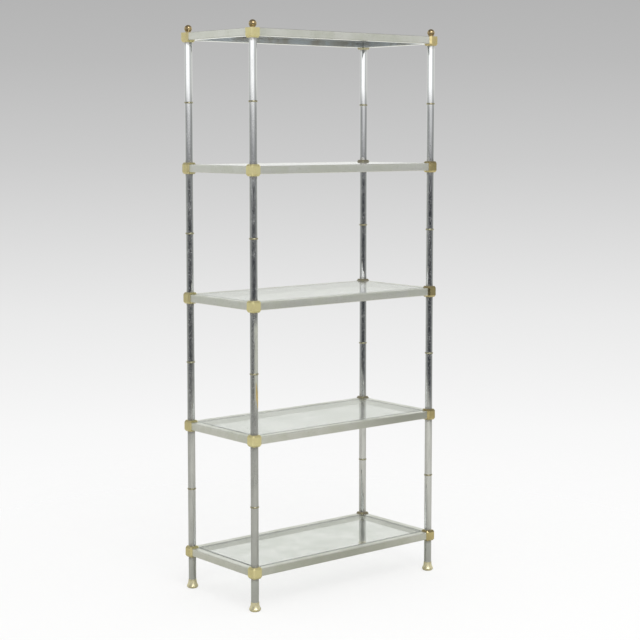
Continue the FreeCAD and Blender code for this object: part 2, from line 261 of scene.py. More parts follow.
def turned(tree, place, *degrees):
    """A place turned about X, Y and Z, so that a pattern runs another way."""
    return add_node(tree, "ShaderNodeMapping", {
        "Vector": place, "Rotation": [math.radians(angle) for angle in degrees]}).outputs[0]


def noise(tree, place, scale, detail, roughness=0.5):
    """Uneven grey about 0.5."""
    return add_node(tree, "ShaderNodeTexNoise", {
        "Vector": place, "Scale": scale, "Detail": detail, "Roughness": roughness}).outputs[0]


def relief(tree, height, strength, distance):
    """The way that the surface faces once its height makes it uneven."""
    return add_node(tree, "ShaderNodeBump", {
        "Height": height, "Strength": strength, "Distance": distance}).outputs[0]


def blend_values(tree, share, first, second):
    """The first number with a share of the second over it. A Mix node has sockets of the same
    name for each kind of value, so they go by their numbers."""
    node = add_node(tree, "ShaderNodeMix", {0: share, 2: first, 3: second}, data_type="FLOAT")
    return node.outputs[0]


def blend_colours(tree, share, first, second):
    """The first colour with a share of the second over it."""
    node = add_node(tree, "ShaderNodeMix", {0: share, 6: first, 7: second}, data_type="RGBA")
    return node.outputs[2]


def ramp(tree, value, stops):
    """A colour ramp through (place, colour) stops, given from the lowest place up."""
    node = add_node(tree, "ShaderNodeValToRGB", {0: value})
    elements = node.color_ramp.elements
    while len(elements) < len(stops):
        elements.new(1.0)
    for element, (place, colour) in zip(elements, stops):
        element.position = place
        element.color = opaque(colour)
    return node.outputs[0]


def shader_group(name, inputs, outputs):
    """An empty node group with its sockets made. Each input is (name, kind, default)."""
    tree = bpy.data.node_groups.new(name, "ShaderNodeTree")
    for socket_name, kind, default in inputs:
        socket = tree.interface.new_socket(socket_name, in_out="INPUT", socket_type="NodeSocket" + kind)
        if default is not None:
            socket.default_value = default
    for socket_name in outputs:
        tree.interface.new_socket(socket_name, in_out="OUTPUT", socket_type="NodeSocketFloat")
    return tree, add_node(tree, "NodeGroupInput").outputs


def close_group(tree, **results):
    feed(tree, add_node(tree, "NodeGroupOutput"), **results)


def make_wear_group():
    """Uneven film in broad blotches, and small specks that gather in patches, for every finish."""
    tree, given = shader_group("metal wear", [
        ("Place", "Vector", None), ("Blotch Scale", "Float", 12.0), ("Speck Scale", "Float", 260.0),
        ("Speck Share", "Float", 0.3)], ["Blotches", "Specks"])
    broad = noise(tree, given["Place"], given["Blotch Scale"], 5.0, 0.6)
    fine = noise(tree, given["Place"], given["Speck Scale"], 2.0, 0.55)
    patches = noise(tree, given["Place"], product(tree, given["Speck Scale"], 0.12), 2.0)
    least = calculate(tree, "SUBTRACT", 0.72, product(tree, given["Speck Share"], patches))
    over = calculate(tree, "SUBTRACT", fine, least)
    close_group(tree, Blotches=ease(tree, broad, 0.36, 0.66), Specks=ease(tree, over, -0.02, 0.05))


def make_brushing_group():
    """Fine lines, and the broader bands that they gather in, along the X of the given place."""
    tree, given = shader_group("brushed lines", [
        ("Place", "Vector", None), ("Line Scale", "Float", 900.0), ("Line Length", "Float", 60.0)],
        ["Lines", "Bands"])
    x, y, z = axes(tree, given["Place"])
    along = calculate(tree, "DIVIDE", x, given["Line Length"])
    drawn = add_node(tree, "ShaderNodeCombineXYZ", {0: along, 1: y, 2: z}).outputs[0]
    lines = noise(tree, drawn, given["Line Scale"], 3.0, 0.6)
    bands = noise(tree, drawn, product(tree, given["Line Scale"], 0.13), 2.0)
    close_group(tree, Lines=ease(tree, lines, 0.3, 0.7), Bands=ease(tree, bands, 0.35, 0.65))


def make_joint_group():
    """A ragged mask that grows towards every shelf, where the tubes run into their blocks, and
    the height above or below the middle of the nearest shelf frame."""
    tree, given = shader_group("joint tarnish", [
        ("Place", "Vector", None), ("First Shelf", "Float", 0.127), ("Pitch", "Float", 0.434),
        ("Block Half", "Float", 0.019), ("Reach", "Float", 0.03)], ["Near Joint", "From Shelf"])
    height = axes(tree, given["Place"])[2]
    above_first = calculate(tree, "SUBTRACT", height, given["First Shelf"])
    bay = calculate(tree, "DIVIDE", above_first, given["Pitch"])
    off_shelf = calculate(tree, "SUBTRACT", bay, calculate(tree, "ROUND", bay))
    apart = product(tree, calculate(tree, "ABSOLUTE", off_shelf), given["Pitch"])
    past_block = calculate(tree, "SUBTRACT", apart, given["Block Half"])
    uneven = calculate(tree, "SUBTRACT", noise(tree, given["Place"], 160.0, 3.0), 0.5)
    ragged = add_share(tree, past_block, 0.02, uneven)
    near = ease(tree, calculate(tree, "DIVIDE", ragged, given["Reach"]), 0.0, 1.0, 1.0, 0.0)
    close_group(tree, Near_Joint=near, From_Shelf=apart)


GROUP_MAKERS = {
    "metal wear": make_wear_group,
    "brushed lines": make_brushing_group,
    "joint tarnish": make_joint_group,
}


def place_group(tree, group, **inputs):
    """A shader group placed in a material. It is made the first time that it is asked for."""
    if group not in bpy.data.node_groups:
        GROUP_MAKERS[group]()
    node = add_node(tree, "ShaderNodeGroup", node_tree=bpy.data.node_groups[group])
    feed(tree, node, **inputs)
    return node.outputs


def new_material(name):
    """A node material with its Principled shader and the piece's own coordinates."""
    material = bpy.data.materials.new(name)
    material.use_nodes = True
    tree = material.node_tree
    tree.nodes.clear()
    shader = add_node(tree, "ShaderNodeBsdfPrincipled")
    add_node(tree, "ShaderNodeOutputMaterial", {"Surface": shader.outputs[0]})
    place = add_node(tree, "ShaderNodeTexCoord").outputs["Object"]
    return material, tree, shader, place


# ---------------------------------------------------------------- finishes

JOINT_TARNISH = tone(120, 112, 92)
FRAME_SPECKS = tone(126, 122, 100)
# Blotches within the painted shade on the top frame's inner faces.
INNER_SHADE_BLOTCHES = tone(168, 156, 134)
ROD_STAINS = tone(128, 118, 108)
SMEARED_GLASS = (0.90, 0.92, 0.88)

# Heights on the posts where an effect starts, is full, starts to fade and is gone: pits and
# oxide on all posts, and hand marks and a painted highlight on the front left one.
PITTED_HEIGHTS = (0.45, 0.65, 1.35, 1.6)
HANDLED_HEIGHTS = (0.12, 0.14, 0.92, 1.08)
HIGHLIGHT_HEIGHTS = (0.62, 0.72, 0.92, 0.97)
# Heights between which the film on the posts thins out towards the top.
THINNING_FILM = (1.45, 1.65)
# The way that the side of the front left post with the painted highlight faces.
HIGHLIGHT_SIDE = (0.36, -0.93, 0)

# Where the front left post is rubbed through to the brass: the middle of that place, how far it
# is whole and how far it reaches, across and along the tube, and how much its ends waver.
WORN_PLACE = (-0.3822, -0.1884, 0.707)
WORN_ACROSS = (0.003, 0.0075)
WORN_ALONG = (0.018, 0.036)
WORN_RAGGED = 0.03

# Middle, reach and strength of the painted shade on the two lowest frames' front rails.
LOW_SHADE_PLACES = [((0.30, -0.1887, 0.561), 0.42, 0.85), ((-0.02, -0.1887, 0.127), 0.60, 0.70)]
# How far above or below a frame's middle its painted edge highlights start and are full.
EDGE_HIGHLIGHT_BAND = (0.0105, 0.0122)
# How far from the stand's middle the inner side of a rail gives way to its outer side, and the
# heights between which the painted shade on the top frame's inner faces comes in.
INNER_SIDE = {"long": (0.168, 0.172), "short": (0.378, 0.382)}
TOP_FRAME = (1.80, 1.83)


def chromed_tube(metals):
    """Old chrome plate: bright, finely drawn along the tube, pitted and specked with oxide at
    middle heights, and dulled in long streaks and at the joints. The front left post, which is
    handled most, is duller, carries a painted highlight, a pale and less metallic patch, on the
    side that faces the front, and is rubbed through at one place."""
    material, tree, shader, place = new_material("chromed_tube")
    x, y, height = axes(tree, place)
    upright = turned(tree, place, 0, 90, 0)
    pitted = between(tree, height, *PITTED_HEIGHTS)
    wear = place_group(tree, "metal wear", Place=place, Blotch_Scale=9.0, Speck_Scale=420.0,
                       Speck_Share=add_share(tree, 0.05, 0.20, pitted))
    drawn = place_group(tree, "brushed lines", Place=upright, Line_Scale=640.0, Line_Length=60.0)
    streaks = place_group(tree, "brushed lines", Place=upright, Line_Scale=1000.0, Line_Length=8.0)
    joint = place_group(tree, "joint tarnish", Place=place, Reach=0.012)
    handled = handled_corner(tree, place)

    film = product(tree, streaks["Bands"], add_share(tree, 0.2, 0.8, wear["Blotches"]),
                   ease(tree, height, *THINNING_FILM, 1.0, 0.4))
    hand_marks = product(tree, handled, ease(
        tree, between(tree, height, *HANDLED_HEIGHTS), 0.0, 1.0, 0.14, 0.6))
    colour = blend_colours(tree, add_share(tree, hand_marks, 0.22, film),
                           opaque(metals.chrome), opaque(metals.chrome_worn))
    colour = blend_colours(tree, product(tree, wear["Specks"], 0.25),
                           colour, opaque(metals.chrome_worn))
    colour = blend_colours(tree, product(tree, joint["Near Joint"], 0.5),
                           colour, opaque(JOINT_TARNISH))

    # Painted highlight: a pale, less metallic patch on the side of the front left post that faces the
    # front, between the heights given.
    facing = compare(tree, "DOT_PRODUCT", surface_direction(tree), HIGHLIGHT_SIDE)
    painted_highlight = product(tree, ease(tree, handled, 0.8, 1.0), between(tree, height, *HIGHLIGHT_HEIGHTS),
                   ease(tree, facing, 0.35, 0.85), add_share(tree, 0.7, 0.3, streaks["Bands"]))
    colour = blend_colours(tree, painted_highlight, colour, opaque(metals.chrome_painted_highlight))

    flat = add_node(tree, "ShaderNodeCombineXYZ", {0: x, 1: y}).outputs[0]
    across = compare(tree, "DISTANCE", flat, (*WORN_PLACE[:2], 0))
    ragged = add_share(tree, height, WORN_RAGGED, drawn["Bands"])
    along = calculate(tree, "ABSOLUTE", calculate(
        tree, "SUBTRACT", ragged, WORN_PLACE[2] + WORN_RAGGED / 2))
    worn = product(tree, ease(tree, across, *WORN_ACROSS, 1.0, 0.0),
                   ease(tree, along, *WORN_ALONG, 1.0, 0.0))
    colour = blend_colours(tree, worn, colour, opaque(metals.bare))

    oxide = product(tree, wear["Specks"], pitted, 0.4)
    unworn_highlight = product(tree, painted_highlight, calculate(tree, "SUBTRACT", 0.85, worn, clamp=True))
    covered = calculate(tree, "MAXIMUM", oxide, unworn_highlight)
    rough = add_share(tree, 0.03, 0.28, add_share(tree, hand_marks, 0.45, film))
    rough = add_share(tree, rough, 0.14, wear["Specks"])
    rough = add_share(tree, rough, 0.12, joint["Near Joint"])
    rough = add_share(tree, rough, 0.25, worn, clamp=True)
    feed(tree, shader, Base_Color=colour, Roughness=rough,
         Metallic=calculate(tree, "SUBTRACT", 1.0, covered, clamp=True),
         Normal=relief(tree, drawn["Lines"], 0.03, 0.00004))
    return material


def satin_frame(metals, run):
    """Brushed plate on a shelf frame, with lines along the rail and a faint greenish film. Its
    edges carry a painted highlight, its undersides are glossy, the two lowest frames' front rails
    carry patches of painted shade, and the top frame's inner faces carry painted shade."""
    material, tree, shader, place = new_material("satin_frame_" + run)
    x, y, height = axes(tree, place)
    along = turned(tree, place, 0, 0, 0 if run == "long" else 90)
    wear = place_group(
        tree, "metal wear", Place=place, Blotch_Scale=11.0, Speck_Scale=240.0, Speck_Share=0.2)
    brushed = place_group(tree, "brushed lines", Place=along, Line_Scale=1300.0, Line_Length=80.0)
    colour = blend_colours(tree, product(tree, wear["Blotches"], 0.6),
                           opaque(metals.satin), opaque(metals.satin_aged))
    colour = blend_colours(tree, product(tree, brushed["Lines"], 0.22),
                           colour, opaque(metals.satin_aged))
    colour = blend_colours(tree, product(tree, wear["Specks"], 0.14), colour, opaque(FRAME_SPECKS))

    facing_up = axes(tree, surface_direction(tree))[2]
    upright = ease(tree, calculate(tree, "ABSOLUTE", facing_up), 0.4, 0.6, 1.0, 0.0)
    # Painted shade: darker patches on the upright faces of the two lowest frames' front rails.
    for middle, reach, strength in LOW_SHADE_PLACES:
        away = compare(tree, "DISTANCE", place, middle)
        low_shade = product(tree, upright, ease(tree, away, 0.0, reach, strength, 0.0))
        colour = blend_colours(tree, low_shade, colour, opaque(metals.satin_low_shade))

    # Painted highlight: a pale, glossier line on the upright faces near each frame's top and bottom
    # edges, where the rounded tube edges would catch the light.
    off_middle = place_group(tree, "joint tarnish", Place=place)["From Shelf"]
    rub_lines_and_edge_highlight = product(tree, upright, ease(tree, off_middle, *EDGE_HIGHLIGHT_BAND))
    colour = blend_colours(tree, product(tree, rub_lines_and_edge_highlight, 0.8), colour, opaque(metals.satin_edge_highlight))

    # Painted shade: on the top frame, the upright inner faces of the rails are darkened and blued, with
    # blotches, as though shaded under the top pane.
    inward = calculate(tree, "ABSOLUTE", y if run == "long" else x)
    inner_shade = product(tree, upright, ease(tree, inward, *INNER_SIDE[run], 1.0, 0.0),
                        ease(tree, height, *TOP_FRAME))
    dark = blend_colours(tree, product(tree, wear["Blotches"], 0.6),
                         opaque(metals.satin_inner_shade), opaque(INNER_SHADE_BLOTCHES))
    colour = blend_colours(tree, inner_shade, colour, dark)

    rough = add_share(tree, 0.28, 0.06, brushed["Bands"])
    rough = add_share(tree, rough, -0.12, rub_lines_and_edge_highlight)
    rough = calculate(tree, "ADD", rough, ease(tree, facing_up, -0.9, -0.5, -0.16, 0.0))
    rough = add_share(tree, rough, 0.08, wear["Blotches"], clamp=True)
    feed(tree, shader, Base_Color=colour, Metallic=1.0, Roughness=rough,
         Normal=relief(tree, brushed["Lines"], 0.10, 0.0001))
    return material


def corner_sum(tree, place):
    """X plus Y, which is lowest at the front left post and highest at the rear right one."""
    x, y, _ = axes(tree, place)
    return calculate(tree, "ADD", x, y)


def handled_corner(tree, place):
    """1 on the front left post, which hands and cloths reach most, less on the rear left one
    and 0 on the others."""
    return ease(tree, corner_sum(tree, place), -0.5, 0.1, 1.0, 0.0)


def block_brass(tree, place, metals, handled):
    """The blocks' brass: rubbed where it is handled, browned elsewhere, and greyed at the rear right by
    painted shade.
    """
    brass = blend_colours(tree, handled, opaque(metals.brass_browned), opaque(metals.brass))
    # Painted shade: the rear right blocks are greyed and darkened as though in shade at the back of the
    # stand.
    rear_shade = ease(tree, corner_sum(tree, place), 0.30, 0.50, 0.0, 0.7)
    return blend_colours(tree, rear_shade, brass, opaque(metals.brass_rear_shade))


def satin_brass(metals):
    """The blocks' faces: rubbed pale and matt where they are handled, browner and glossy elsewhere."""
    material, tree, shader, place = new_material("satin_brass")
    upright = turned(tree, place, 0, 90, 0)
    wear = place_group(
        tree, "metal wear", Place=place, Blotch_Scale=34.0, Speck_Scale=420.0, Speck_Share=0.3)
    rub_lines_and_edge_highlight = place_group(tree, "brushed lines", Place=upright, Line_Scale=1500.0, Line_Length=25.0)
    handled = handled_corner(tree, place)
    aged = product(tree, wear["Blotches"], ease(tree, handled, 0.0, 1.0, 0.30, 0.12))
    colour = blend_colours(tree, aged, block_brass(tree, place, metals, handled),
                           opaque(metals.brass_aged))
    colour = blend_colours(tree, product(tree, wear["Specks"], 0.16), colour, opaque(metals.brass_aged))
    rough = add_share(tree, ease(tree, handled, 0.2, 1.0, 0.10, 0.45), 0.04, rub_lines_and_edge_highlight["Bands"])
    rough = add_share(tree, rough, 0.05, wear["Blotches"], clamp=True)
    feed(tree, shader, Base_Color=colour, Metallic=1.0, Roughness=rough,
         Normal=relief(tree, rub_lines_and_edge_highlight["Lines"], 0.08, 0.00005))
    return material


def worn_brass_edge(metals):
    """The blocks' broken edges, brightest where they are handled."""
    material, tree, shader, place = new_material("worn_brass_edge")
    wear = place_group(
        tree, "metal wear", Place=place, Blotch_Scale=60.0, Speck_Scale=500.0, Speck_Share=0.25)
    handled = handled_corner(tree, place)
    colour = blend_colours(tree, product(tree, wear["Blotches"], 0.3),
                           block_brass(tree, place, metals, handled), opaque(metals.brass_aged))
    rough = add_share(tree, ease(tree, handled, 0.0, 1.0, 0.16, 0.28), 0.10, wear["Blotches"])
    feed(tree, shader, Base_Color=colour, Metallic=1.0, Roughness=rough)
    return material


def turned_brass(name, clean, aged, polish, spots):
    """Turned brass with a share of brown spots. The polish is its lowest roughness."""
    material, tree, shader, place = new_material(name)
    wear = place_group(
        tree, "metal wear", Place=place, Blotch_Scale=46.0, Speck_Scale=380.0, Speck_Share=0.32)
    lathed = place_group(tree, "brushed lines", Place=place, Line_Scale=1100.0, Line_Length=1.0)
    colour = blend_colours(tree, product(tree, wear["Blotches"], spots), opaque(clean), opaque(aged))
    colour = blend_colours(tree, product(tree, wear["Specks"], spots), colour, opaque(aged))
    rough = add_share(tree, polish, 0.08, wear["Blotches"])
    rough = add_share(tree, rough, 0.1, wear["Specks"], clamp=True)
    feed(tree, shader, Base_Color=colour, Metallic=1.0, Roughness=rough,
         Normal=relief(tree, lathed["Lines"], 0.04, 0.00005))
    return material


def plain_steel(metals):
    """Mill steel of the tie rods."""
    material, tree, shader, place = new_material("plain_steel")
    wear = place_group(
        tree, "metal wear", Place=place, Blotch_Scale=30.0, Speck_Scale=400.0, Speck_Share=0.4)
    colour = blend_colours(tree, wear["Blotches"], opaque(metals.steel), opaque(ROD_STAINS))
    rough = add_share(tree, 0.38, 0.3, wear["Specks"], clamp=True)
    feed(tree, shader, Base_Color=colour, Metallic=1.0, Roughness=rough)
    return material


def clear_glass(glass):
    """Float glass: clear, a little smeared and dusty, greener and matt in its ground edges, and
    light in its shadow."""
    material, tree, shader, place = new_material("clear_glass")
    facing_up = calculate(tree, "ABSOLUTE", axes(tree, surface_direction(tree))[2])
    flat = ease(tree, facing_up, 0.75, 0.95)
    dust = place_group(
        tree, "metal wear", Place=place, Blotch_Scale=7.0, Speck_Scale=300.0, Speck_Share=0.22)
    face = blend_colours(tree, product(tree, dust["Blotches"], 0.7),
                         opaque(glass.face), opaque(SMEARED_GLASS))
    colour = blend_colours(tree, flat, opaque(glass.edge), face)
    rough = ease(tree, dust["Blotches"], 0.0, 1.0, 0.004, 0.018)
    rough = add_share(tree, rough, 0.12, dust["Specks"], clamp=True)
    rough = calculate(tree, "ADD", rough, ease(tree, flat, 0.0, 1.0, 0.75, 0.0), clamp=True)
    shadow_ray = add_node(tree, "ShaderNodeLightPath").outputs["Is Shadow Ray"]
    feed(tree, shader, Base_Color=colour, Roughness=rough, IOR=1.52, Transmission_Weight=glass.clear,
         Sheen_Weight=glass.dust, Sheen_Roughness=0.4,
         Alpha=calculate(tree, "SUBTRACT", 1.0, product(tree, shadow_ray, 0.85)))
    return material


# ---------------------------------------------------------------- modelling helpers


def deselect_all():
    if bpy.context.mode != "OBJECT":
        bpy.ops.object.mode_set(mode="OBJECT")
    bpy.ops.object.select_all(action="DESELECT")


def make_active(piece):
    deselect_all()
    piece.select_set(True)
    bpy.context.view_layer.objects.active = piece


def add_box(name, low, high):
    """A box between two corners, added as a cube and sized and placed in its mesh."""
    deselect_all()
    bpy.ops.mesh.primitive_cube_add(size=1, location=(Vector(low) + Vector(high)) / 2)
    box = bpy.context.object
    box.name = name
    box.scale = Vector(high) - Vector(low)
    bpy.ops.object.transform_apply(location=True, rotation=True, scale=True)
    return box


def combine(piece, other, operation):
    """Cuts other from piece, or welds it on, and clears other away."""
    make_active(piece)
    modifier = piece.modifiers.new(operation.lower(), "BOOLEAN")
    modifier.operation = operation
    modifier.object = other
    modifier.solver = "EXACT"
    bpy.ops.object.modifier_apply(modifier=modifier.name)
    bpy.data.objects.remove(other, do_unlink=True)


def finish_on(node, material):
    """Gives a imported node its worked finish."""
    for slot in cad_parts[node].material_slots:
        slot.material = material


def nodes_named(start):
    """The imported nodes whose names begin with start."""
    found = sorted(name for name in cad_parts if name.startswith(start))
    if not found:
        raise RuntimeError("the packed model has no node that starts with " + start)
    return found


# ---------------------------------------------------------------- operators


class ETAGERE_OT_posts(bpy.types.Operator):
    """Gives the post tubes their aged chrome and the tie rods inside them their steel"""

    bl_idname = "etagere.posts"
    bl_label = "Posts"

    def execute(self, context):
        metals = context.scene.etagere_metals
        chrome = chromed_tube(metals)
        for node in nodes_named("post_"):
            finish_on(node, chrome)
        finish_on("tie_rods", plain_steel(metals))
        return {"FINISHED"}


class ETAGERE_OT_shelf_frames(bpy.types.Operator):
    """Gives the shelf frames their brushed plate, with its lines along each rail"""

    bl_idname = "etagere.shelf_frames"
    bl_label = "Shelf frames"

    def execute(self, context):
        metals = context.scene.etagere_metals
        plates = {run: satin_frame(metals, run) for run in ("long", "short")}
        for shelf in SHELVES:
            for side, run in RAIL_RUNS.items():
                finish_on("rail_%d_%s" % (shelf, side), plates[run])
        return {"FINISHED"}


class ETAGERE_OT_panes(bpy.types.Operator):
    """Gives the loose panes their clear, slightly dusty glass"""

    bl_idname = "etagere.panes"
    bl_label = "Glass panes"

    def execute(self, context):
        glass = clear_glass(context.scene.etagere_glass)
        for node in nodes_named("glass_"):
            finish_on(node, glass)
        return {"FINISHED"}


class ETAGERE_OT_turned_brass(bpy.types.Operator):
    """Gives the balls, feet and bead rings their turned brass, brightest on the feet"""

    bl_idname = "etagere.turned_brass"
    bl_label = "Balls, feet and rings"

    def execute(self, context):
        metals = context.scene.etagere_metals
        kinds = [
            ("foot_", "polished_brass", metals.polished, 0.42, 0.08),
            ("finial_", "browned_ball_brass", metals.ball, 0.27, 0.28),
            ("bead_rings", "browned_ring_brass", metals.ring, 0.3, 0.25),
        ]
        for start, name, clean, polish, spots in kinds:
            brass = turned_brass(name, clean, metals.brass_aged, polish, spots)
            for node in nodes_named(start):
                finish_on(node, brass)
        return {"FINISHED"}


# How far a cutter runs past the metal, how deep a spigot is rooted in its block, how many sides
# it has, and how close together corners are merged.
PAST_METAL = 0.002
SPIGOT_ROOT = 0.001
SPIGOT_SIDES = 48
MERGE_WITHIN = 0.00001
# The rounding of the blocks' edges: its steps, and the least turn between faces that it rounds.
ROUND_STEPS = 3
SHARP_ANGLE = math.radians(30)


class ETAGERE_OT_corner_blocks(bpy.types.Operator):
    """Models the chamfered brass corner blocks with their pockets, spigots and broken edges"""

    bl_idname = "etagere.corner_blocks"
    bl_label = "Corner blocks"

    def model_block(self, sizes, top):
        """One block about the origin, its pocket open towards +X and +Y. A top block is cut
        off level with the shelf frame."""
        half = sizes.rail / 2 + sizes.wall
        block = add_box("corner_block", (-half, -half, -half), (half, half, half))
        bpy.ops.object.mode_set(mode="EDIT")
        bpy.ops.mesh.select_all(action="SELECT")
        bpy.ops.mesh.bevel(offset_type="OFFSET", offset=sizes.chamfer, segments=1, affect="EDGES")
        if top:
            bpy.ops.mesh.select_all(action="SELECT")
            bpy.ops.mesh.bisect(plane_co=(0, 0, sizes.rail / 2), plane_no=(0, 0, 1),
                                clear_outer=True, use_fill=True)
        bpy.ops.object.mode_set(mode="OBJECT")

        seat = sizes.rail / 2 + sizes.clearance
        past = half + PAST_METAL
        combine(block, add_box("frame_seat", (-seat, -seat, -seat), (past, past, seat)), "DIFFERENCE")
        for side in (-1,) if top else (-1, 1):
            deselect_all()
            bpy.ops.mesh.primitive_cylinder_add(
                vertices=SPIGOT_SIDES, radius=sizes.spigot_radius,
                depth=sizes.spigot_length + SPIGOT_ROOT,
                location=(0, 0, side * (half + (sizes.spigot_length - SPIGOT_ROOT) / 2)))
            combine(block, bpy.context.object, "UNION")

        make_active(block)
        bpy.ops.object.mode_set(mode="EDIT")
        bpy.ops.mesh.select_all(action="SELECT")
        bpy.ops.mesh.remove_doubles(threshold=MERGE_WITHIN)
        bpy.ops.mesh.normals_make_consistent(inside=False)
        bpy.ops.object.mode_set(mode="OBJECT")
        bpy.ops.object.shade_smooth()
        edges = block.modifiers.new("broken edges", "BEVEL")
        edges.width = sizes.edge_round
        edges.segments = ROUND_STEPS
        edges.limit_method = "ANGLE"
        edges.angle_limit = SHARP_ANGLE
        edges.material = 1
        edges.harden_normals = True
        bpy.ops.object.modifier_apply(modifier=edges.name)
        return block

    def execute(self, context):
        sizes = context.scene.etagere_blocks
        finishes = [make(context.scene.etagere_metals) for make in (satin_brass, worn_brass_edge)]
        masters = {top: self.model_block(sizes, top) for top in (False, True)}
        for master in masters.values():
            for finish in finishes:
                master.data.materials.append(finish)
        for shelf in SHELVES:
            for corner, quarters in QUARTER_TURNS.items():
                node = "block_%d_%s" % (shelf, corner)
                low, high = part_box("post_" + corner)
                rail_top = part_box("rail_%d_front" % shelf)[1].z
                make_active(masters[shelf == SHELVES[-1]])
                bpy.ops.object.duplicate(linked=False)
                block = context.object
                block.name = "corner_" + node
                block.rotation_euler = (0, 0, quarters * math.pi / 2)
                block.location = ((low.x + high.x) / 2, (low.y + high.y) / 2, rail_top - sizes.rail / 2)
                bpy.ops.object.transform_apply(location=True, rotation=True, scale=True)
                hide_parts(node)
                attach(block, "stand")
        for master in masters.values():
            bpy.data.objects.remove(master, do_unlink=True)
        return {"FINISHED"}


# Elevation in degrees, and the screen grey of the backdrop there.
BACKDROP = [(-18, 254), (-13.5, 253), (-10.5, 248), (-6.5, 234), (-1, 204), (2.5, 187), (5, 179),
            (16, 172)]

# The studio as polished metal mirrors it. Each part has its bearing, in degrees clockwise from
# +Y, and its light by the cosine of the turn away from there. The room is dark on the side of its
# bearing and pale on the far side. The softbox hangs above it, with a bright streak along its
# lower rim, and what stands overhead is dark again.
MIRRORED = {
    "room": (-148.0, [
        (-1.0, (0.96, 0.97, 0.95)), (-0.72, (0.64, 0.65, 0.63)), (-0.4, (0.42, 0.43, 0.41)),
        (0.12, (0.31, 0.32, 0.31)), (0.45, (0.23, 0.235, 0.235)), (0.65, (0.13, 0.134, 0.14)),
        (0.85, (0.07, 0.074, 0.08)), (1.0, (0.05, 0.053, 0.058))]),
    "rim": (-152.0, [
        (-1.0, (0.96, 0.97, 0.95)), (-0.72, (0.60, 0.61, 0.60)), (-0.4, (0.38, 0.39, 0.38)),
        (0.1, (0.29, 0.295, 0.295)), (0.6, (0.38, 0.385, 0.39)), (0.85, (0.66, 0.66, 0.67)),
        (0.96, (0.80, 0.80, 0.81)), (1.0, (0.84, 0.84, 0.85))]),
    "softbox": (-127.3, [
        (-1.0, (0.90, 0.91, 0.88)), (-0.5, (0.82, 0.83, 0.80)), (-0.22, (0.48, 0.49, 0.48)),
        (0.05, (0.80, 0.81, 0.79)), (0.4, (0.66, 0.67, 0.67)), (0.55, (0.76, 0.77, 0.78)),
        (0.66, (1.4, 1.4, 1.42)), (1.0, (1.5, 1.5, 1.5))]),
    "overhead": (-140.4, [
        (-1.0, (0.88, 0.90, 0.86)), (-0.25, (0.76, 0.77, 0.74)), (0.15, (0.98, 0.98, 0.95)),
        (0.6, (0.26, 0.26, 0.27)), (1.0, (0.11, 0.11, 0.12))]),
}
CEILING = 0.25
# How the parts follow each other above the room: the sines of the elevations between which each
# one comes in over what is below it, and how far it covers that.
RISING = [("softbox", -0.04, 0.012, 0.22), ("rim", -0.034, 0.011, 0.85), ("softbox", 0.012, 0.028, 1.0),
          ("overhead", 0.075, 0.15, 1.0), ("ceiling", 0.2, 0.7, 1.0)]

FLOOR_RADIUS = 5.0
# Distances from the stand between which the floor fades out, as the camera sees it and for all
# other light, and between which metal stops showing the near floor's darker colour, a painted shadow of
# the stand.
SEEN_FLOOR, LIT_FLOOR = (0.8, 2.5), (2.7, 4.4)
NEAR_FLOOR = (0.6, 1.3)

# Where the lamp hangs, the point that it faces, and its size.
LAMP_PLACE, LAMP_AIM = Vector((-1.65, -4.0, 4.4)), Vector((0, 0, 0.9))
LAMP_WIDTH, LAMP_HEIGHT = 4.2, 3.4

# The camera's sensor in millimetres, how many metres it sees, and the shift that centres the
# stand in the picture.
SENSOR_WIDTH = 36
CAMERA_REACH = 100
CAMERA_SHIFT = (-0.0045, -0.05)


